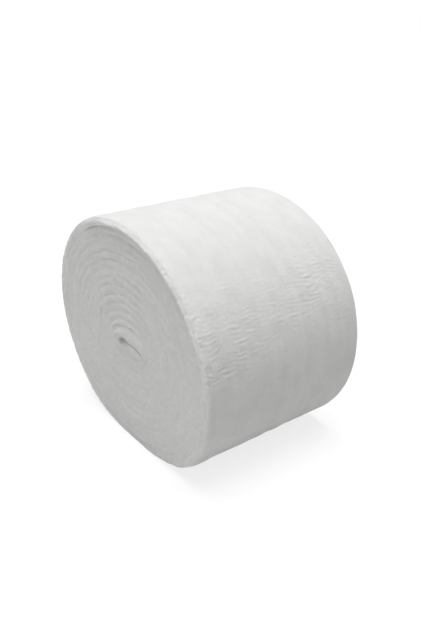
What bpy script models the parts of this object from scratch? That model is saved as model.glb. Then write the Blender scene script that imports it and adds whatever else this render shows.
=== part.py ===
"""A bulky roll of crinkled gauze bandage, lying on its side.

One long strip of soft gauze is folded over once at the middle and wound up.
The roll is built as one closed solid of its wound form. It is oval, because
the fold at its middle is flat, and its own weight has pressed it down onto
a small flat spot. The turns stand up as one spiral ridge on both ends, and
the outermost turn stands out a little past the others and ends in a low
step on the underside.

Sizes are in metres and +Z is up. The roll's axis runs along Y, and the
origin lies on the resting surface, under the middle of the roll.
"""

import math

import bmesh
import bpy

# The strip and its winding; its last stretch is pressed thin
STRIP_WIDTH = 0.075
TURN_COUNT = 14.2
STEPS_PER_TURN = 40
LOOSE_END_ANGLE = math.radians(-75)
TURN_WANDER = 0.14
END_THINNING = 0.8
END_THINS_OVER = 0.08

# The last turn is slack, so that it is thickest a third of a turn from its end
LAP_SLACK = 0.20
SLACKEST_TURN = TURN_COUNT - 1.33
SLACK_FADES_OVER = 0.5

# The roll's outer outline, measured from the middle of its section
HALF_SPAN = 0.0575
CROWN_HEIGHT = 0.0517
CROWN_LEAN = -0.0017
OUTLINE_LOBING = -0.0096

# How the roll sags: below this depth the turns are pressed together
SAG_DEPTH = 0.0473
SAG_SOFTNESS = 0.00365
MIDDLE_ABOVE_FLAT_SPOT = 0.0446

# The flat fold that the winding starts from, and the slit left inside it
FOLD_MIDDLE = (0.0035, 0.0001)
FOLD_HALF_SPAN = 0.0101
FOLD_HALF_HEIGHT = 0.0044
SLIT_MIDDLE = (0.0031, -0.0003)
SLIT_HALF_SPAN = 0.0083
SLIT_HALF_HEIGHT = 0.0004
SLIT_MOUTH = 0.0030
SLIT_ARCH = 0.0010
SLIT_DEPTH = 0.006

# The ridge of the turns on the roll's ends. The last turn stands out between
# these two shares of a turn before its end, each with the share where it is flush
GROOVE_DEPTH = 0.0011
CROWN_SHARES = (0.27, 0.73)
EDGE_WANDER = 0.0002
OUTER_TURN_STANDS_OUT = 0.0012
STANDS_OUT_FROM = {"flush": 0.60, "out": 0.42}
STANDS_OUT_UNTIL = {"flush": 0.03, "out": 0.18}

# The outer turn's rounded edge: share of the turn's thickness, and setback
EDGE_ROUNDING = (
    {"share": 0.80, "setback": 0.0003},
    {"share": 0.95, "setback": 0.0009},
    {"share": 1.00, "setback": 0.0020},
)
EDGE_GROWS_OVER = 0.12

# The outer turn's front edge flares a little at the lower right
FLARE = 0.0005
FLARE_ANGLE = math.radians(-35)
FLARE_HALF_ANGLE = math.radians(50)
FLARE_WIDTH = 0.012
SKIN_ROWS = 10

GAUZE_COLOUR = (0.84, 0.84, 0.82, 1.0)
GAUZE_ROUGHNESS = 0.95

LAST_STEP = round(TURN_COUNT * STEPS_PER_TURN)
FIRST_OUTER_STEP = LAST_STEP - STEPS_PER_TURN


def blend(start, end, share):
    """Mix two numbers."""
    return start + (end - start) * share


def ease(value):
    """Rise smoothly from 0 to 1 while value goes from 0 to 1."""
    value = min(max(value, 0.0), 1.0)
    return value * value * (3 - 2 * value)


def angle_of(turn):
    """Angle around the roll; the strip winds outwards clockwise from -Y."""
    return LOOSE_END_ANGLE + 2 * math.pi * (TURN_COUNT - turn)


def outer_outline(angle):
    """The oval that the last turn would reach without its own weight."""
    swell = 1 + OUTLINE_LOBING * math.cos(3 * angle)
    x = swell * (HALF_SPAN * math.cos(angle) + CROWN_LEAN * math.sin(angle))
    z = swell * CROWN_HEIGHT * math.sin(angle)
    return x, z


def fold_outline(angle):
    """The flat oval around the fold at the middle of the roll."""
    x = FOLD_MIDDLE[0] + FOLD_HALF_SPAN * math.cos(angle)
    z = FOLD_MIDDLE[1] + FOLD_HALF_HEIGHT * math.sin(angle)
    return x, z


def slit_outline(angle):
    """The slit inside the fold, which gapes at its bend on the left."""
    along = math.cos(angle)
    half_height = SLIT_HALF_HEIGHT + SLIT_MOUTH * max(0.0, -along) ** 2
    x = SLIT_MIDDLE[0] + SLIT_HALF_SPAN * along
    z = SLIT_MIDDLE[1] - SLIT_ARCH * along * along + half_height * math.sin(angle)
    return x, MIDDLE_ABOVE_FLAT_SPOT + z


def settle(z):
    """Height above the surface, once the weight has pressed the turns down."""
    above_sag = (z + SAG_DEPTH) / SAG_SOFTNESS
    settled = math.log1p(math.exp(above_sag)) * SAG_SOFTNESS - SAG_DEPTH
    return max(0.0, MIDDLE_ABOVE_FLAT_SPOT + settled)


def wound_point(turn):
    """Outer side of the strip at a turn, between the fold and the outline."""
    angle = angle_of(turn)
    thinning = END_THINNING * ease(1 - (TURN_COUNT - turn) / END_THINS_OVER)
    slack = LAP_SLACK * ease(1 - abs(turn - SLACKEST_TURN) / SLACK_FADES_OVER)
    share = (turn - thinning - slack) / TURN_COUNT
    share += TURN_WANDER / TURN_COUNT * (1 - share) * math.sin(2.3 * turn + 0.6)
    fold = fold_outline(angle)
    outer = outer_outline(angle)
    return blend(fold[0], outer[0], share), settle(blend(fold[1], outer[1], share))


def inner_point(step):
    """Inner side of the strip: the turn below it, or the slit in turn one."""
    turn = step / STEPS_PER_TURN
    if step < STEPS_PER_TURN:
        return slit_outline(angle_of(turn))
    return wound_point(turn - 1)


def standing_out(turn):
    """1 where the last turn's edges stand out past the others, 0 where flush."""
    before_end = TURN_COUNT - turn
    shares = []
    for stretch in (STANDS_OUT_FROM, STANDS_OUT_UNTIL):
        run = stretch["out"] - stretch["flush"]
        shares.append(ease((before_end - stretch["flush"]) / run))
    return shares[0] * shares[1]


def crown_setback(turn, side):
    """How far a turn's edge lies behind the widest edge of the strip."""
    tucked = 1 - standing_out(turn)
    wander = math.sin(1.7 * turn + side) + math.sin(4.1 * turn - side)
    return tucked * (OUTER_TURN_STANDS_OUT + EDGE_WANDER * wander)


def across_strip(step, share):
    """A point inside the strip's thickness; share 0 is its inner side."""
    inner = inner_point(step)
    outer = wound_point(step / STEPS_PER_TURN)
    return blend(inner[0], outer[0], share), blend(inner[1], outer[1], share)


def flare_at(step, from_front):
    """How far the outer turn swells outwards, most at its front edge."""
    turn = step / STEPS_PER_TURN
    before_end = (TURN_COUNT - turn) * 2 * math.pi
    off_centre = abs(before_end + LOOSE_END_ANGLE - FLARE_ANGLE) / FLARE_HALF_ANGLE
    return FLARE * ease(1 - off_centre) * ease(1 - from_front / FLARE_WIDTH)


def add_groove(mesh, step, side):
    """Vertex in the groove on a turn's outer side."""
    turn = step / STEPS_PER_TURN
    x, z = wound_point(turn)
    setback = crown_setback(turn, side) + GROOVE_DEPTH
    return mesh.verts.new((x, side * (STRIP_WIDTH / 2 - setback), z))


def add_crowns(mesh, step, side):
    """The two vertices along the top of a turn's ridge."""
    setback = crown_setback(step / STEPS_PER_TURN, side)
    crowns = []
    for share in CROWN_SHARES:
        x, z = across_strip(step, share)
        crowns.append(mesh.verts.new((x, side * (STRIP_WIDTH / 2 - setback), z)))
    return crowns


def rounded_corner(step, side):
    """The outer turn's outer corner, as shares of its thickness and setbacks."""
    turn = step / STEPS_PER_TURN
    since_start = (step - FIRST_OUTER_STEP) / STEPS_PER_TURN
    grown = ease(since_start / EDGE_GROWS_OVER)
    behind = crown_setback(turn, side) + GROOVE_DEPTH * (1 - grown)
    corner = []
    for row in EDGE_ROUNDING:
        corner.append((blend(1.0, row["share"], grown), behind + row["setback"]))
    return corner


def add_skin(mesh, step, front_groove, back_groove):
    """Vertices over the outer turn, from its front edge to its back edge."""
    front = rounded_corner(step, -1)
    back = [(share, STRIP_WIDTH - setback) for share, setback in rounded_corner(step, 1)]
    middle = []
    for row in range(1, SKIN_ROWS + 1):
        middle.append((1.0, blend(front[-1][1], back[-1][1], row / (SKIN_ROWS + 1))))

    angle = angle_of(step / STEPS_PER_TURN)
    skin = []
    for share, from_front in front + middle + back[::-1]:
        x, z = across_strip(step, share)
        flare = flare_at(step, from_front)
        x += flare * math.cos(angle)
        z = max(0.0, z + flare * math.sin(angle))
        skin.append(mesh.verts.new((x, from_front - STRIP_WIDTH / 2, z)))
    if step == FIRST_OUTER_STEP:
        for vertex in (skin[0], skin[-1]):
            mesh.verts.remove(vertex)
        skin[0], skin[-1] = front_groove, back_groove
    return skin


def add_strip_between(mesh, row_a, row_b):
    """Four-sided faces between two rows of vertices."""
    for index in range(len(row_a) - 1):
        mesh.faces.new((row_a[index], row_a[index + 1], row_b[index + 1], row_b[index]))


def add_end(mesh, side):
    """One end of the roll: the spiral ridge, and the slit at its middle."""
    slit = []
    for step in range(STEPS_PER_TURN):
        x, z = slit_outline(angle_of(step / STEPS_PER_TURN))
        slit.append(mesh.verts.new((x, side * (STRIP_WIDTH / 2 - SLIT_DEPTH), z)))
    grooves = [add_groove(mesh, step, side) for step in range(FIRST_OUTER_STEP + 1)]
    crowns = [add_crowns(mesh, step, side) for step in range(LAST_STEP + 1)]

    inner_sides = slit + grooves
    for step in range(LAST_STEP):
        row_a = [inner_sides[step], *crowns[step]]
        row_b = [inner_sides[step + 1], *crowns[step + 1]]
        if step < FIRST_OUTER_STEP:
            row_a.append(grooves[step])
            row_b.append(grooves[step + 1])
        add_strip_between(mesh, row_a, row_b)

    mesh.faces.new(slit)
    strip_start = [slit[0], *crowns[0], grooves[0]]
    for first, second in zip(strip_start, strip_start[1:]):
        mesh.faces.new((slit[-1], first, second))
    return grooves, crowns


def add_outer_turn(mesh, front, back):
    """The outer turn's surface, and the step where the strip ends."""
    front_grooves, front_crowns = front
    back_grooves, back_crowns = back
    skins = {}
    for step in range(FIRST_OUTER_STEP, LAST_STEP + 1):
        skins[step] = add_skin(mesh, step, front_grooves[-1], back_grooves[-1])
    for step in range(FIRST_OUTER_STEP, LAST_STEP):
        row_a = [front_crowns[step][1], *skins[step], back_crowns[step][1]]
        row_b = [front_crowns[step + 1][1], *skins[step + 1], back_crowns[step + 1][1]]
        add_strip_between(mesh, row_a, row_b)

    add_strip_between(mesh, skins[FIRST_OUTER_STEP], skins[LAST_STEP])
    for grooves, crowns, skin_end in (
        (front_grooves, front_crowns, skins[LAST_STEP][0]),
        (back_grooves, back_crowns, skins[LAST_STEP][-1]),
    ):
        mesh.faces.new((grooves[-1], *crowns[LAST_STEP], skin_end))


def centre_over_origin(mesh):
    """Put the middle of the roll's box over the origin, along X and Y."""
    for axis in (0, 1):
        places = [vertex.co[axis] for vertex in mesh.verts]
        middle = (min(places) + max(places)) / 2
        for vertex in mesh.verts:
            vertex.co[axis] -= middle


def gauze_material():
    """Plain bleached cotton gauze."""
    material = bpy.data.materials.new("gauze")
    material.use_nodes = True
    shader = material.node_tree.nodes["Principled BSDF"]
    shader.inputs["Base Color"].default_value = GAUZE_COLOUR
    shader.inputs["Roughness"].default_value = GAUZE_ROUGHNESS
    shader.inputs["Metallic"].default_value = 0.0
    return material


def build_bandage_roll():
    """Model the roll and link it into the scene."""
    mesh = bmesh.new()
    front = add_end(mesh, -1)
    back = add_end(mesh, 1)
    add_outer_turn(mesh, front, back)
    centre_over_origin(mesh)
    bmesh.ops.recalc_face_normals(mesh, faces=mesh.faces)

    data = bpy.data.meshes.new("bandage_roll")
    mesh.to_mesh(data)
    mesh.free()
    data.shade_smooth()
    data.set_sharp_from_angle(angle=math.radians(50))
    data.materials.append(gauze_material())
    roll = bpy.data.objects.new("bandage_roll", data)
    bpy.context.scene.collection.objects.link(roll)


for existing in list(bpy.data.objects):
    bpy.data.objects.remove(existing, do_unlink=True)

build_bandage_roll()
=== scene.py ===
import math

import bmesh
import bpy
from mathutils import Matrix, Vector


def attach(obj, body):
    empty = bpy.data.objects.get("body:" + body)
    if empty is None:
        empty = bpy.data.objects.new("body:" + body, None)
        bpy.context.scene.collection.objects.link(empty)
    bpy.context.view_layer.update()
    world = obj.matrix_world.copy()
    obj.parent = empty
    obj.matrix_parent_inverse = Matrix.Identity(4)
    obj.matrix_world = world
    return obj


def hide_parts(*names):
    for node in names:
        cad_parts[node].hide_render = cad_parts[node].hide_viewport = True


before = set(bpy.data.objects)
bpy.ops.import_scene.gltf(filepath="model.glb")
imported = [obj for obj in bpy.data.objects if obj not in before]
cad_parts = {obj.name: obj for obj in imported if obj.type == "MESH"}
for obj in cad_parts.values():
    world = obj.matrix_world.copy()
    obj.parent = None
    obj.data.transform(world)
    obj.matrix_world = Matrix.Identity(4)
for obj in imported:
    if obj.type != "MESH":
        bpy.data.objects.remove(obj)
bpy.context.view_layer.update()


# ---------------------------------------------------------------------------
# The wound turns. The roll is one long strip of soft gauze, several plies
# thick, folded over once at its middle and then wound up. Thirteen of its
# turns are held under the last one and show only their edges, at both ends.
# ---------------------------------------------------------------------------

# The strip and its winding, as the solid roll has them: widths in metres, and
# what happens along the strip in turns
STRIP_WIDTH = 0.075
TURN_COUNT = 14.2
LAST_LAP = TURN_COUNT - 1
LOOSE_END_ANGLE = math.radians(-75)
TURN_WANDER = 0.14
WANDER_RATE = 2.3
WANDER_START = 0.6
END_THINNING = 0.8
END_THINS_OVER = 0.08
LAP_SLACK = 0.20
SLACKEST_TURN = TURN_COUNT - 1.33
SLACK_FADES_OVER = 0.5

# The oval that the last turn fills, measured from the section's middle
SECTION_MIDDLE = (-0.0005, 0.0446)
HALF_SPAN = 0.0575
CROWN_HEIGHT = 0.0517
CROWN_LEAN = -0.0017
OUTLINE_LOBES = 3
OUTLINE_LOBING = -0.0096
SAG_DEPTH = 0.0473
SAG_SOFTNESS = 0.00365

# The flat fold in the middle, and the slit inside it, which gapes at its left
# and is pressed shut a little way in from the roll's ends
FOLD_MIDDLE = (0.0035, 0.0001)
FOLD_HALF_SPAN = 0.0101
FOLD_HALF_HEIGHT = 0.0044
SLIT_MIDDLE = (0.0036, -0.0001)
SLIT_HALF_SPAN = 0.0083
SLIT_HALF_HEIGHT = 0.0002
SLIT_MOUTH = 0.0043
SLIT_ARCH = 0.0010
SLIT_SHUTS_OVER = 0.0024
SLIT_PRESSED_TO = 0.06
SLIT_ENDS = (1.0, 1.04)

# The crown of the strip's edges, in metres. It is clearest on one side of the
# roll, worn in patches, and fuller round the fold and on the last turn's rim
FAINT_CROWN = 0.00012
CLEAR_CROWN = 0.00048
CLEAREST_RINGS = math.radians(125)
WORN_PATCH_SIZE = 0.009
WORN_PATCHES_VARY = 2.6
WORN_PATCHES_MEAN = 0.95
WORN_RANGE = (0.1, 1.6)
CORE_CROWN = 0.0007
CORE_TURNS = (0.9, 1.35)
LIP_CROWN = 0.0006

# The tufts and the slow wander of the edges, in metres, and how far apart the
# roll's two ends read their noises, so that they differ
TUFT_HEIGHT = 0.00086
TUFT_SIZE = 0.0017
TUFTS_APART = 9
WORN_PATCHES_APART = 5
WORN_PATCHES_SLICE = 3
EDGE_WANDER = 0.00003
EDGE_WANDER_RATES = (1.7, 4.1)

# The share of a turn's thickness that stays free on either side of it
TURN_GAP = 0.003

# How far the last turn's edges stand out past the others, and where, in turns
# back from the loose end
OUTER_TURN_STANDS_OUT = 0.0012
STANDS_OUT_FROM = (0.42, 0.60)
STANDS_OUT_UNTIL = (0.03, 0.18)

# How finely the strip is meshed: stations along it, and columns over its outer
# side, over each edge and over its inner side, closer together at the edges
EDGE_CROWDING = 0.25
TURN_STATIONS = 4200
TURN_COLUMNS = {"outer": 3, "edge": 6, "inner": 7}


class Value:
    """A socket of a node tree. A sum on it adds the Math nodes that work it out."""

    def __init__(self, tree, socket):
        self.tree = tree
        self.socket = socket

    def node(self, kind, settings, sockets, output=0):
        """Add a node: its settings first, then the values or links of its sockets."""
        made = self.tree.nodes.new(kind)
        for name, setting in settings.items():
            setattr(made, name, setting)
        for name, value in sockets.items():
            if isinstance(value, Value):
                self.tree.links.new(value.socket, made.inputs[name])
            else:
                made.inputs[name].default_value = value
        return Value(self.tree, made.outputs[output])

    def maths(self, operation, *others):
        """A Math node on this value and then the others."""
        values = dict(enumerate((self, *others)))
        return self.node("ShaderNodeMath", {"operation": operation}, values)

    def maths_after(self, operation, other):
        """A Math node on another value and then this one."""
        values = {0: other, 1: self}
        return self.node("ShaderNodeMath", {"operation": operation}, values)

    def __add__(self, other):
        return self.maths("ADD", other)

    def __radd__(self, other):
        return self.maths_after("ADD", other)

    def __sub__(self, other):
        return self.maths("SUBTRACT", other)

    def __rsub__(self, other):
        return self.maths_after("SUBTRACT", other)

    def __mul__(self, other):
        return self.maths("MULTIPLY", other)

    def __rmul__(self, other):
        return self.maths_after("MULTIPLY", other)

    def __truediv__(self, other):
        return self.maths("DIVIDE", other)

    def __abs__(self):
        return self.maths("ABSOLUTE")

    def sine(self):
        return self.maths("SINE")

    def cosine(self):
        return self.maths("COSINE")

    def at_least(self, least):
        return self.maths("MAXIMUM", least)

    def between(self, low, high):
        return self.at_least(low).maths("MINIMUM", high)

    def eased(self, start, end):
        """0 before start and 1 after end, with a smooth rise in between."""
        ends = {"Value": self, "From Min": start, "From Max": end}
        return self.node("ShaderNodeMapRange", {"interpolation_type": "SMOOTHSTEP"}, ends)

    def part(self, letter):
        """One part of a vector."""
        return self.node("ShaderNodeSeparateXYZ", {}, {"Vector": self}, letter)

    def with_parts(self, x, y, z):
        """A vector put together in this value's tree."""
        return self.node("ShaderNodeCombineXYZ", {}, {"X": x, "Y": y, "Z": z})

    def noise(self, x, y, z, detail=0.0):
        """Smooth unevenness from about -0.5 to 0.5, one bump to each unit of x, y and z."""
        place = self.with_parts(x, y, z)
        sockets = {"Vector": place, "Scale": 1.0, "Detail": detail}
        return self.node("ShaderNodeTexNoise", {}, sockets) - 0.5

    def attribute(self, name):
        """A number kept on the mesh under this name, read in a geometry tree."""
        return self.node("GeometryNodeInputNamedAttribute", {}, {"Name": name})

    def keeping(self, name, value):
        """This geometry with a number kept on its points under this name."""
        sockets = {"Geometry": self, "Name": name, "Value": value}
        return self.node("GeometryNodeStoreNamedAttribute", {}, sockets)


def blend(start, end, share):
    """Mix two numbers, or two places in the roll's section."""
    if isinstance(start, tuple):
        return tuple(blend(first, last, share) for first, last in zip(start, end))
    return start + (end - start) * share


def wound_out(turn):
    """How far out a turn's outer side lies: 0 is the fold, 1 the roll's outline."""
    thinning = END_THINNING * turn.eased(TURN_COUNT - END_THINS_OVER, TURN_COUNT)
    slack = LAP_SLACK * (1 - abs(turn - SLACKEST_TURN).eased(0.0, SLACK_FADES_OVER))
    share = (turn - thinning - slack) / TURN_COUNT
    wander = TURN_WANDER * (WANDER_RATE * turn + WANDER_START).sine()
    return share + wander * (1 - share) / TURN_COUNT


def settled(height):
    """Height above the floor once the roll's weight has pressed its turns down."""
    above_sag = ((height + SAG_DEPTH) / SAG_SOFTNESS).maths("EXPONENT")
    raised = (above_sag + 1).maths("LOGARITHM", math.e) * SAG_SOFTNESS
    return raised - SAG_DEPTH + SECTION_MIDDLE[1]


def standing_out(turn):
    """1 where the last turn's edges stand out past the others, and 0 where they are flush."""
    to_go = TURN_COUNT - turn
    return (1 - to_go.eased(*STANDS_OUT_FROM)) * to_go.eased(*STANDS_OUT_UNTIL)


def half_width(turn, across, x, height):
    """Half the strip's width at a place in the roll's section, with its soft edges' unevenness."""
    tucked = (1 - standing_out(turn)) * OUTER_TURN_STANDS_OUT
    slow, quick = EDGE_WANDER_RATES
    wander = (slow * turn + across).sine() + (quick * turn - across).sine()
    tufts = turn.noise(x / TUFT_SIZE, height / TUFT_SIZE, across * TUFTS_APART, detail=1.0)
    return STRIP_WIDTH / 2 - tucked + wander * EDGE_WANDER + tufts * TUFT_HEIGHT


def edge_crown(turn, angle, across, x, height):
    """How far an edge crowns out at a place in the roll's section."""
    clear = (angle - CLEAREST_RINGS).cosine() * 0.5 + 0.5
    crown = clear * clear * CLEAR_CROWN + FAINT_CROWN
    end = across * WORN_PATCHES_APART + WORN_PATCHES_SLICE
    worn = turn.noise(x / WORN_PATCH_SIZE, height / WORN_PATCH_SIZE, end)
    worn = worn * WORN_PATCHES_VARY + WORN_PATCHES_MEAN
    crown = crown * worn.between(*WORN_RANGE)
    return crown + CORE_CROWN * (1 - turn.eased(*CORE_TURNS)) + LIP_CROWN * standing_out(turn)


def slit_side(along_x, along_z, across):
    """The slit's side in this direction from its middle, as a place in the roll's section."""
    from_end = (1 - abs(across)) * (STRIP_WIDTH / 2)
    opening = 1 - (1 - SLIT_PRESSED_TO) * from_end.eased(0.0, SLIT_SHUTS_OVER)
    mouth = (0 - along_x).at_least(0.0)
    half_height = (SLIT_HALF_HEIGHT + SLIT_MOUTH * mouth * mouth) * opening
    return (
        SLIT_MIDDLE[0] + SLIT_HALF_SPAN * along_x,
        SLIT_MIDDLE[1] - SLIT_ARCH * along_x * along_x + half_height * along_z,
    )


def wound_place(turn, along, across, bulge, share, relief):
    """Where a point of the flat strip comes to lie once the strip is wound.

    along is in metres from the strip's start. across runs from -1 at the front
    edge to 1 at the back one, bulge is how far the edge crowns out past that,
    and share is 0 on the strip's inner side and 1 on its outer one.
    relief(along, width, angle, share, out) moves the point away from the middle.
    """
    angle = (TURN_COUNT - turn) * math.tau + LOOSE_END_ANGLE
    along_x = angle.cosine()
    along_z = angle.sine()
    swell = 1 + OUTLINE_LOBING * (OUTLINE_LOBES * angle).cosine()
    outline = (
        swell * (HALF_SPAN * along_x + CROWN_LEAN * along_z),
        swell * CROWN_HEIGHT * along_z,
    )
    fold = (
        FOLD_MIDDLE[0] + FOLD_HALF_SPAN * along_x,
        FOLD_MIDDLE[1] + FOLD_HALF_HEIGHT * along_z,
    )

    inner = blend(fold, outline, wound_out(turn - 1))
    inner = blend(slit_side(along_x, along_z, across), inner, turn.eased(*SLIT_ENDS))
    outer = blend(fold, outline, wound_out(turn))
    x, height = blend(inner, outer, share * (1 - 2 * TURN_GAP) + TURN_GAP)
    crown = edge_crown(turn, angle, across, x, height)
    width = across * half_width(turn, across, x, height) + bulge * crown

    raised = relief(along, width, angle, share, standing_out(turn))
    x = x + SECTION_MIDDLE[0] + raised * along_x
    height = (settled(height) + raised * along_z).at_least(0.0)
    return x, width, height


def no_relief(along, width, angle, share, out):
    """The held turns are pressed smooth."""
    return 0.0 * along


def strip_profile(given, columns):
    """The strip's closed cross-section: its outer side, back edge, inner side and front edge."""
    outer, edge, inner = columns["outer"], columns["edge"], columns["inner"]
    count = outer + inner + 2 * edge
    ends = {"Start": (0, 0, 0), "End": (0, 1, 0)}
    line = given.node("GeometryNodeCurvePrimitiveLine", {}, ends)
    line = line.node("GeometryNodeResampleCurve", {}, {"Curve": line, "Count": count})
    index = line.node("GeometryNodeInputIndex", {}, {})
    over = (index / outer).between(0, 1)
    down = ((index - outer) / edge).between(0, 1)
    back = ((index - outer - edge) / inner).between(0, 1)
    up = ((index - outer - edge - inner) / edge).between(0, 1)
    run = (over - back.eased(0.0, 1.0)) * 2 - 1
    crowded = run * (1 + EDGE_CROWDING - run * run * EDGE_CROWDING)
    line = line.keeping("across", crowded)
    rise, fall = (down * math.pi).sine(), (up * math.pi).sine()
    line = line.keeping("bulge", rise * rise * rise - fall * fall * fall)
    line = line.keeping("share", 1 + ((down * math.pi).cosine() - (up * math.pi).cosine()) / 2)
    cyclic = {"Geometry": line, "Cyclic": True}
    return line.node("GeometryNodeSetSplineCyclic", {}, cyclic)


def winding_tree(name, columns, relief):
    """The node tree that lays out the strip, winds it up and gives it its cloth."""
    tree = bpy.data.node_groups.new(name, "GeometryNodeTree")
    for label, kind in (
        ("First turn", "NodeSocketFloat"),
        ("Last turn", "NodeSocketFloat"),
        ("Stations", "NodeSocketInt"),
        ("Cloth", "NodeSocketMaterial"),
    ):
        tree.interface.new_socket(label, in_out="INPUT", socket_type=kind)
    tree.interface.new_socket("Piece", in_out="OUTPUT", socket_type="NodeSocketGeometry")
    entry = tree.nodes.new("NodeGroupInput")
    given = {socket.name: Value(tree, socket) for socket in entry.outputs[:-1]}
    first = given["First turn"]

    # The strip's middle line, wound up, so that its length is the cloth's own
    ends = {
        "Start": first.with_parts(first, 0.0, 0.0),
        "End": first.with_parts(given["Last turn"], 0.0, 0.0),
    }
    line = first.node("GeometryNodeCurvePrimitiveLine", {}, ends)
    fine = {"Curve": line, "Count": given["Stations"]}
    line = line.node("GeometryNodeResampleCurve", {}, fine)
    place = line.node("GeometryNodeInputPosition", {}, {})
    line = line.keeping("turn", place.part("X"))
    level = place.part("Y")
    middle = wound_place(
        place.part("X"), along=level, across=level, bulge=level, share=level + 0.5, relief=no_relief
    )
    move = {"Geometry": line, "Position": line.with_parts(*middle)}
    line = line.node("GeometryNodeSetPosition", {}, move)
    even = {"Curve": line, "Count": given["Stations"]}
    line = line.node("GeometryNodeResampleCurve", {}, even)
    length = line.node("GeometryNodeSplineParameter", {}, {}, "Length")
    line = line.keeping("along", length)

    # The cross-section swept along it, each point then put in its wound place
    sweep = {"Curve": line, "Profile Curve": strip_profile(first, columns), "Fill Caps": True}
    strip = line.node("GeometryNodeCurveToMesh", {}, sweep)
    read = strip.attribute
    spot = wound_place(*map(read, ("turn", "along", "across", "bulge", "share")), relief)
    move = {"Geometry": strip, "Position": strip.with_parts(*spot)}
    strip = strip.node("GeometryNodeSetPosition", {}, move)
    strip = strip.node("GeometryNodeFlipFaces", {}, {"Mesh": strip})

    # A flat map of the cloth, in metres along the strip and across it
    flat = strip.with_parts(read("along"), spot[1], 0.0)
    layout = {"Geometry": strip, "Name": "cloth", "Value": flat}
    kind = {"data_type": "FLOAT2", "domain": "CORNER"}
    strip = strip.node("GeometryNodeStoreNamedAttribute", kind, layout)
    strip = strip.node("GeometryNodeRealizeInstances", {}, {"Geometry": strip})
    finish = {"Geometry": strip, "Material": given["Cloth"]}
    strip = strip.node("GeometryNodeSetMaterial", {}, finish)
    leave = tree.nodes.new("NodeGroupOutput")
    tree.links.new(strip.socket, leave.inputs["Piece"])
    return tree


def made_with(tree, name, sizes):
    """Run a node tree with these sizes and keep the plain mesh that it makes."""
    piece = bpy.data.objects.new(name, bpy.data.meshes.new(name))
    bpy.context.scene.collection.objects.link(piece)
    modifier = piece.modifiers.new("make", "NODES")
    modifier.node_group = tree
    for socket in tree.interface.items_tree:
        if socket.in_out == "INPUT":
            modifier[socket.identifier] = sizes[socket.name]
    graph = bpy.context.evaluated_depsgraph_get()
    made = bpy.data.meshes.new_from_object(
        piece.evaluated_get(graph), preserve_all_data_layers=True, depsgraph=graph
    )
    piece.modifiers.remove(modifier)
    piece.data = made
    made.name = name
    made.shade_smooth()
    made.set_sharp_from_angle(angle=math.radians(60))
    return piece


# The cloth's unevenness: the size of each kind's bumps along the flat cloth and
# across it, in metres
THREAD_SWAY_NOISE = {"size": (0.004, 0.004), "detail": 2.0}
PLY_CURL_NOISE = {"size": (0.003, 0.003), "detail": 1.0}
FIBRE_NOISE = {"size": (0.0005, 0.0005), "detail": 3.0}
LINT_NOISE = {"size": (0.0016, 0.0016), "detail": 2.0}
MOTTLE_NOISE = {"size": (0.0065, 0.0065), "detail": 3.0}
STREAK_NOISE = {"size": (0.040, 0.0045), "depth": 8.0, "detail": 1.0}

# Its threads and plies, and how far apart the strip's two sides read a noise
THREAD_PITCH = 0.0008
THREAD_SWAY = 0.0011
PLIES = 4
PLY_CURL = 2
FIBRES_APART = 5
LINT_APART = 3

# How far each of them moves the cloth's white towards its shade. The last millimetre of the strip's
# outer face is painted whiter: painted light, which stands in for light shining through the thin rim
START_TONE = 0.15
THREAD_TONE = 0.02
PLY_TONE = 0.05
FIBRE_TONE = 0.12
LINT_TONE = 0.15
EDGE_LINT_TONE = 0.75
MOTTLE_TONE = 0.62
STREAK_TONE = 0.45
PAINTED_RIM_LIGHT_TONE = 0.35
PAINTED_RIM_LIGHT_BAND = (0.0366, 0.0376)
OUTER_FACE = (0.5, 0.95)
GAUZE_WHITE = (0.86, 0.86, 0.85, 1.0)
GAUZE_SHADE = (0.70, 0.70, 0.69, 1.0)

# How high they lie beside each other in the bump, and how deep it is, in metres
THREAD_HEIGHT = 0.12
PLY_HEIGHT = 0.35
FIBRE_HEIGHT = 0.6
LINT_HEIGHT = 2.5
BUMP_DEPTH = 0.0002
BUMP_STRENGTH = 0.35

CLOTH_SETTINGS = {
    "Roughness": 0.95,
    "Specular IOR Level": 0.2,
    "Subsurface Radius": (1.0, 1.0, 1.0),
    "Subsurface Scale": 0.0012,
    "Sheen Weight": 0.08,
    "Sheen Roughness": 0.6,
}

# The colour mix's sockets by their number, as its kinds of mix share names
MIX_SHARE, MIX_FIRST, MIX_SECOND = 0, 6, 7
MIX_COLOUR = 2


def cloth_noise(along, width, size, depth=0.0, detail=0.0):
    """Unevenness on the flat cloth. The depth picks a slice of the noise."""
    return along.noise(along / size[0], width / size[1], depth, detail)


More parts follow.
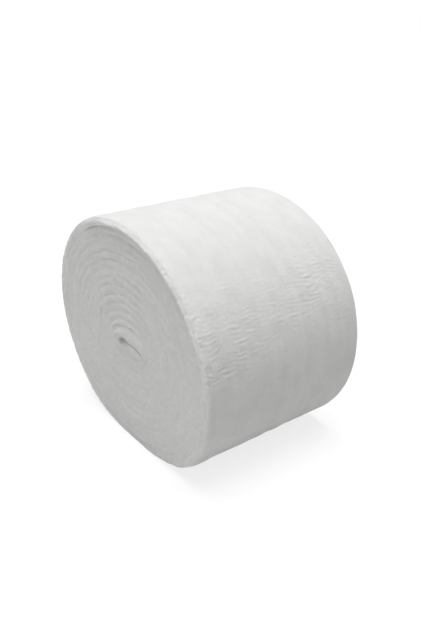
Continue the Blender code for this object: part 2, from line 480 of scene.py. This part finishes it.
def gauze_cloth(name, light_through):
    """Bleached cotton gauze: crossing threads on its face, plies at its edges."""
    material = bpy.data.materials.new(name)
    material.use_nodes = True
    tree = material.node_tree
    shader = tree.nodes["Principled BSDF"]
    start = Value(tree, shader.outputs[0])
    flat = start.node("ShaderNodeUVMap", {"uv_map": "cloth"}, {})
    along, width = flat.part("X"), flat.part("Y")
    share = start.node("ShaderNodeAttribute", {"attribute_name": "share"}, {}, "Fac")
    at_edge = abs(start.node("ShaderNodeAttribute", {"attribute_name": "bulge"}, {}, "Fac"))
    at_edge = at_edge.eased(0.0, 0.5)

    sway = cloth_noise(along, width, **THREAD_SWAY_NOISE) * THREAD_SWAY
    warp = ((width + sway) * (math.tau / THREAD_PITCH)).cosine()
    weft = ((along + sway) * (math.tau / THREAD_PITCH)).cosine()
    threads = warp.maths("MAXIMUM", weft) * (1 - at_edge)
    curl = cloth_noise(along, width, depth=share, **PLY_CURL_NOISE)
    plies = ((share * PLIES + curl * PLY_CURL) * math.tau).cosine() * at_edge
    fibres = cloth_noise(along, width, depth=share * FIBRES_APART, **FIBRE_NOISE)
    lint = cloth_noise(along, width, depth=share * LINT_APART, **LINT_NOISE)
    mottle = cloth_noise(along, width, depth=share, **MOTTLE_NOISE)
    streaks = cloth_noise(along, width, **STREAK_NOISE)

    tone = (1 - threads) * THREAD_TONE + (1 - plies) * PLY_TONE
    tone = tone + mottle * MOTTLE_TONE + streaks * STREAK_TONE
    tone = tone + fibres * FIBRE_TONE + lint * (at_edge * EDGE_LINT_TONE + LINT_TONE)
    # Painted light: the outer face's last millimetre is painted whiter, standing in for light shining
    # through the thin rim
    painted_rim_light = abs(width).eased(*PAINTED_RIM_LIGHT_BAND) * share.eased(*OUTER_FACE)
    tone = (tone + START_TONE - painted_rim_light * PAINTED_RIM_LIGHT_TONE).between(-1, 1)
    mix = {MIX_SHARE: tone, MIX_FIRST: GAUZE_WHITE, MIX_SECOND: GAUZE_SHADE}
    colour = start.node("ShaderNodeMix", {"data_type": "RGBA"}, mix, MIX_COLOUR)
    height = threads * THREAD_HEIGHT + plies * PLY_HEIGHT
    height = height + fibres * FIBRE_HEIGHT + lint * LINT_HEIGHT
    bump = {"Strength": BUMP_STRENGTH, "Distance": BUMP_DEPTH, "Height": height}
    normal = start.node("ShaderNodeBump", {}, bump)
    tree.links.new(colour.socket, shader.inputs["Base Color"])
    tree.links.new(normal.socket, shader.inputs["Normal"])
    shader.inputs["Subsurface Weight"].default_value = light_through
    for name, setting in CLOTH_SETTINGS.items():
        shader.inputs[name].default_value = setting
    return material


held_gauze = gauze_cloth("held_gauze", light_through=0.0)
wound_turns = made_with(
    winding_tree("wound_turns", TURN_COLUMNS, no_relief),
    "wound_turns",
    {"First turn": 0.0, "Last turn": LAST_LAP, "Stations": TURN_STATIONS, "Cloth": held_gauze},
)
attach(wound_turns, "root")
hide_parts("bandage_roll")


# ---------------------------------------------------------------------------
# The last turn. It is the same strip, and the only part of it whose face
# shows: soft gauze that crinkles along the roll's width, with a rounded rim
# that stands out past the turns inside it.
# ---------------------------------------------------------------------------
LAP_STATIONS = 1030
LAP_COLUMNS = {"outer": 73, "edge": 8, "inner": 3}
LOOSE_CLOTH_LETS_THROUGH = 0.5

# Short creases, which lie along the roll's width, sway, break off and lean back
# from the front rim, in metres, and flecks, which are so many times as high
CREASE_PITCH = 0.0016
CREASE_SKEW = 2.2
CREASE_HEIGHT = 0.00008
CREASE_SWAY_NOISE = {"size": (0.014, 0.0040), "depth": 0.0}
CREASE_SWAY = 2.6
CREASE_RIPPLE_NOISE = {"size": (0.0040, 0.0030), "depth": 5.0}
CREASE_RIPPLE = 0.5
CREASE_BREAK_NOISE = {"size": (0.0050, 0.0028), "depth": 9.0}
CREASE_BREAKS = (-0.20, 0.10)
FLECK_NOISE = {"size": (0.0018, 0.0026), "depth": 3.0}
FLECK_HEIGHT = 3

# They are faint everywhere, and fainter from the roll's shoulder on
CREASE_EVERYWHERE = 0.16
SHOULDER_ANGLES = (0.7, 1.05)
FAINTER_BEYOND = 0.6

# They are stronger in patches. Some of these are left to chance and the others
# are placed, widths in metres and angles round the roll in degrees
CHANCE_PATCH_NOISE = {"size": (0.020, 0.012), "depth": 7.0}
CHANCE_PATCHES = (-0.05, 0.2)
CHANCE_STRENGTH = 0.35
PATCH_REACH = 1.5
CREASED_PATCHES = (
    {"width": -0.0340, "angle": 25, "half_width": 0.006, "half_angle": 20, "strength": 0.90},
    {"width": -0.0310, "angle": 7, "half_width": 0.008, "half_angle": 10, "strength": 1.30},
    {"width": -0.0190, "angle": 44, "half_width": 0.004, "half_angle": 9, "strength": 0.60},
    {"width": -0.0180, "angle": 26, "half_width": 0.005, "half_angle": 16, "strength": 0.70},
    {"width": -0.0085, "angle": 13, "half_width": 0.005, "half_angle": 7, "strength": 0.90},
    {"width": -0.0240, "angle": 12, "half_width": 0.007, "half_angle": 10, "strength": 0.85},
    {"width": 0.0020, "angle": 30, "half_width": 0.006, "half_angle": 14, "strength": 0.35},
    {"width": 0.0170, "angle": 29, "half_width": 0.006, "half_angle": 14, "strength": 0.90},
    {"width": 0.0260, "angle": 12, "half_width": 0.006, "half_angle": 9, "strength": 0.75},
    {"width": 0.0280, "angle": 40, "half_width": 0.006, "half_angle": 8, "strength": 0.40},
    {"width": 0.0120, "angle": 33, "half_width": 0.009, "half_angle": 20, "strength": 0.25},
    {"width": 0.0270, "angle": 24, "half_width": 0.007, "half_angle": 24, "strength": 0.45},
    {"width": 0.0220, "angle": 150, "half_width": 0.012, "half_angle": 28, "strength": 0.70},
    {"width": -0.0040, "angle": 175, "half_width": 0.009, "half_angle": 20, "strength": 0.50},
    {"width": -0.0250, "angle": 160, "half_width": 0.010, "half_angle": 32, "strength": 0.70},
    {"width": 0.0120, "angle": 215, "half_width": 0.014, "half_angle": 18, "strength": 0.60},
)

# Soft ridges and troughs, which run round the roll and fade at both ends, and
# the broader bands and pads under them
RIDGE_REACH = 1.6
ROUND_RIDGES = (
    {"width": -0.0255, "half_width": 0.0020, "height": 0.00010, "angle": 20, "half_angle": 60},
    {"width": -0.0190, "half_width": 0.0030, "height": -0.00014, "angle": 35, "half_angle": 40},
    {"width": -0.0125, "half_width": 0.0016, "height": 0.00020, "angle": -5, "half_angle": 35},
    {"width": -0.0105, "half_width": 0.0014, "height": -0.00012, "angle": -3, "half_angle": 20},
    {"width": 0.0020, "half_width": 0.0025, "height": -0.00012, "angle": 34, "half_angle": 14},
    {"width": 0.0058, "half_width": 0.0017, "height": 0.00024, "angle": -10, "half_angle": 26},
    {"width": 0.0060, "half_width": 0.0018, "height": 0.00010, "angle": 50, "half_angle": 16},
    {"width": 0.0105, "half_width": 0.0028, "height": -0.00045, "angle": 62, "half_angle": 30},
    {"width": 0.0205, "half_width": 0.0018, "height": 0.00018, "angle": -4, "half_angle": 18},
    {"width": 0.0215, "half_width": 0.0020, "height": 0.00030, "angle": 12, "half_angle": 42},
    {"width": 0.0245, "half_width": 0.0024, "height": -0.00022, "angle": 26, "half_angle": 30},
    {"width": 0.0310, "half_width": 0.0030, "height": -0.00025, "angle": 18, "half_angle": 35},
)
BAND_NOISE = {"size": (0.070, 0.009), "depth": 2.0}
BAND_HEIGHT = 0.0005
PAD_NOISE = {"size": (0.0065, 0.0065), "depth": 4.0}
PAD_HEIGHT = 0.00034

# The rim: its outer corner rounds over, and its inner side lifts off the turn
# that it covers
RIM_FALL = 0.0005
RIM_ROLL = 0.0006
RIM_WIDTH = 0.0024
LIP_LIFT = 0.0003
LIP_DEPTH = 0.006

# Forms of the front rim: it flares a little low on the right, curls in where it
# nears the floor, and has tufts of loose fibre along its upper part. The reach
# is how far each goes in from the edge
FLARE = {"height": 0.0002, "reach": 0.012, "angle": -35, "half_angle": 50}
CURL = {"height": -0.0013, "reach": 0.0055, "angle": -58, "half_angle": 34}
FLUFF = {"height": 0.0007, "reach": 0.005, "angle": 28, "half_angle": 65}
FLUFF_NOISE = {"size": (0.0018, 0.0018), "depth": 6.0}


def soft_spot(place, middle, reach):
    """1 at the middle, and 0 from the reach on."""
    return 1 - abs(place - middle).eased(0.0, reach)


def creases(along, width, angle):
    """The crinkles of the gauze, in metres."""
    sway = cloth_noise(along, width, **CREASE_SWAY_NOISE) * CREASE_SWAY
    sway = sway + cloth_noise(along, width, **CREASE_RIPPLE_NOISE) * CREASE_RIPPLE
    from_front = width + STRIP_WIDTH / 2
    skewed = along - from_front * from_front * CREASE_SKEW
    waves = ((skewed / CREASE_PITCH + sway) * math.tau).sine()
    breaks = cloth_noise(along, width, **CREASE_BREAK_NOISE).eased(*CREASE_BREAKS)
    flecks = cloth_noise(along, width, **FLECK_NOISE) * FLECK_HEIGHT
    patches = cloth_noise(along, width, **CHANCE_PATCH_NOISE).eased(*CHANCE_PATCHES) * CHANCE_STRENGTH
    strength = (patches + CREASE_EVERYWHERE) * (1 - angle.eased(*SHOULDER_ANGLES) * FAINTER_BEYOND)
    for patch in CREASED_PATCHES:
        spot = soft_spot(width, patch["width"], patch["half_width"] * PATCH_REACH)
        half_angle = math.radians(patch["half_angle"] * PATCH_REACH)
        spot = spot * soft_spot(angle, math.radians(patch["angle"]), half_angle)
        strength = strength + spot * patch["strength"]
    return (waves * breaks + flecks) * strength * CREASE_HEIGHT


def front_rim(form, width, angle):
    """The height of one of the front rim's forms, in metres."""
    spot = soft_spot(angle, math.radians(form["angle"]), math.radians(form["half_angle"]))
    return spot * soft_spot(width, -STRIP_WIDTH / 2, form["reach"]) * form["height"]


def lap_relief(along, width, angle, share, out):
    """How far the last turn stands out past the plain oval of the roll."""
    raised = creases(along, width, angle)
    raised = raised + cloth_noise(along, width, **BAND_NOISE) * BAND_HEIGHT
    raised = raised + cloth_noise(along, width, **PAD_NOISE) * PAD_HEIGHT
    for ridge in ROUND_RIDGES:
        spot = soft_spot(width, ridge["width"], ridge["half_width"] * RIDGE_REACH)
        spot = spot * soft_spot(angle, math.radians(ridge["angle"]), math.radians(ridge["half_angle"]))
        raised = raised + spot * ridge["height"]
    flare = front_rim(FLARE, width, angle) + front_rim(CURL, width, angle)
    flare = flare + front_rim(FLUFF, width, angle) * cloth_noise(along, width, **FLUFF_NOISE)
    from_edge = (STRIP_WIDTH / 2 - abs(width)).at_least(0.0)
    rim = (1 - from_edge / RIM_WIDTH).at_least(0.0)
    rim = (1 - (1 - rim * rim).at_least(0.0).maths("SQRT")) * (RIM_FALL + RIM_ROLL * out)
    lift = (1 - from_edge.eased(0.0, LIP_DEPTH)) * LIP_LIFT * out
    return (raised + flare - rim) * share + lift * (1 - share)


# The same gauze, which lets light through where it lies free
loose_gauze = gauze_cloth("loose_gauze", light_through=LOOSE_CLOTH_LETS_THROUGH)
last_turn = made_with(
    winding_tree("last_turn", LAP_COLUMNS, lap_relief),
    "last_turn",
    {
        "First turn": LAST_LAP,
        "Last turn": TURN_COUNT,
        "Stations": LAP_STATIONS,
        "Cloth": loose_gauze,
    },
)
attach(last_turn, "root")
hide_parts("bandage_roll")


# ---------------------------------------------------------------------------
# The studio: a plain white floor and backdrop, a broad soft light overhead,
# an even sky, and two faint fill lights in front. The floor's bounce comes
# from a greyer twin of it, which only the roll sees.
# ---------------------------------------------------------------------------
FLOOR_REACH = 4.0
FLOOR_GREY = 0.27
FLOOR_GLOW = 0.79
BOUNCE_GREY = 0.66
BOUNCE_BELOW = 0.001
BACKDROP_SEGMENTS = 48
SKY_GLOW = 0.02


def flat_paint(name, grey, glow=0.0):
    """Matt paint, which may shine by itself as a lit backdrop does."""
    paint = bpy.data.materials.new(name)
    paint.use_nodes = True
    shader = paint.node_tree.nodes["Principled BSDF"]
    shader.inputs["Base Color"].default_value = (grey, grey, grey, 1.0)
    shader.inputs["Roughness"].default_value = 1.0
    shader.inputs["Specular IOR Level"].default_value = 0.0
    shader.inputs["Emission Color"].default_value = (1.0, 1.0, 1.0, 1.0)
    shader.inputs["Emission Strength"].default_value = glow
    return paint


def staged(name, mesh, paint):
    """Put a piece of the stage in the scene, in its paint."""
    mesh.materials.append(paint)
    piece = bpy.data.objects.new(name, mesh)
    bpy.context.scene.collection.objects.link(piece)
    return piece


def floor_square(name, height):
    """A level square at this height, as wide as the backdrop."""
    square = bpy.data.meshes.new(name)
    corners = [(-1, -1), (1, -1), (1, 1), (-1, 1)]
    places = [(x * FLOOR_REACH, y * FLOOR_REACH, height) for x, y in corners]
    square.from_pydata(places, [], [(0, 1, 2, 3)])
    return square


floor_mesh = floor_square("floor", 0.0)
floor = staged("floor", floor_mesh, flat_paint("white_floor", FLOOR_GREY, FLOOR_GLOW))
floor.visible_diffuse = False
floor.visible_shadow = False
bounce_mesh = floor_square("floor_bounce", -BOUNCE_BELOW)
bounce = staged("floor_bounce", bounce_mesh, flat_paint("grey_bounce", BOUNCE_GREY))
bounce.visible_camera = False
bounce.visible_shadow = False

dome = bmesh.new()
bmesh.ops.create_uvsphere(
    dome, u_segments=BACKDROP_SEGMENTS, v_segments=BACKDROP_SEGMENTS // 2, radius=FLOOR_REACH
)
dome_mesh = bpy.data.meshes.new("backdrop")
dome.to_mesh(dome_mesh)
dome.free()
backdrop = staged("backdrop", dome_mesh, flat_paint("lit_backdrop", 0.0, glow=1.0))
backdrop.visible_diffuse = False
backdrop.visible_glossy = False
backdrop.visible_shadow = False


def soft_sun(name, strength, spread, turn):
    """A broad, even light. Its spread and its turn away from straight down are in degrees."""
    light = bpy.data.lights.new(name, "SUN")
    light.energy = strength
    light.angle = math.radians(spread)
    lamp = bpy.data.objects.new(name, light)
    lamp.rotation_euler = [math.radians(part) for part in turn]
    bpy.context.scene.collection.objects.link(lamp)


soft_sun("overhead", strength=2.60, spread=50, turn=(0, -2, 0))
soft_sun("open_sky", strength=0.47, spread=90, turn=(0, 0, 0))
soft_sun("front_fill", strength=0.34, spread=60, turn=(70, 0, -10))
soft_sun("side_fill", strength=0.15, spread=60, turn=(60, 0, 45))

world = bpy.data.worlds.new("studio")
world.use_nodes = True
bpy.context.scene.world = world
sky = world.node_tree.nodes["Background"]
sky.inputs["Color"].default_value = (1.0, 1.0, 1.0, 1.0)
sky.inputs["Strength"].default_value = SKY_GLOW
bpy.context.scene.view_settings.view_transform = "Standard"


# ---------------------------------------------------------------------------
# The camera, at the photograph's angle and distance. It aims a little beside
# the roll's middle, so that the roll lies where the photograph has it.
# ---------------------------------------------------------------------------
CAMERA_AZIMUTH = math.radians(52.77)
CAMERA_HEIGHT_ANGLE = math.radians(25.07)
CAMERA_DISTANCE = 0.2867
CAMERA_LENS = 38.3
AIM_RIGHT = 0.00496
AIM_UP = 0.00107

backwards = Vector((
    math.sin(CAMERA_AZIMUTH) * math.cos(CAMERA_HEIGHT_ANGLE),
    -math.cos(CAMERA_AZIMUTH) * math.cos(CAMERA_HEIGHT_ANGLE),
    math.sin(CAMERA_HEIGHT_ANGLE),
))
rightwards = Vector((math.cos(CAMERA_AZIMUTH), math.sin(CAMERA_AZIMUTH), 0.0))
upwards = backwards.cross(rightwards)
middle_of_roll = Vector((SECTION_MIDDLE[0], 0.0, SECTION_MIDDLE[1]))
aim = middle_of_roll + rightwards * AIM_RIGHT + upwards * AIM_UP
lens = bpy.data.cameras.new("camera")
lens.lens = CAMERA_LENS
lens.sensor_width = 36.0
lens.clip_start = 0.01
lens.clip_end = 50.0
camera = bpy.data.objects.new("camera", lens)
turned = Matrix((rightwards, upwards, backwards)).transposed().to_4x4()
camera.matrix_world = Matrix.Translation(aim + backwards * CAMERA_DISTANCE) @ turned
bpy.context.scene.collection.objects.link(camera)
bpy.context.scene.camera = camera
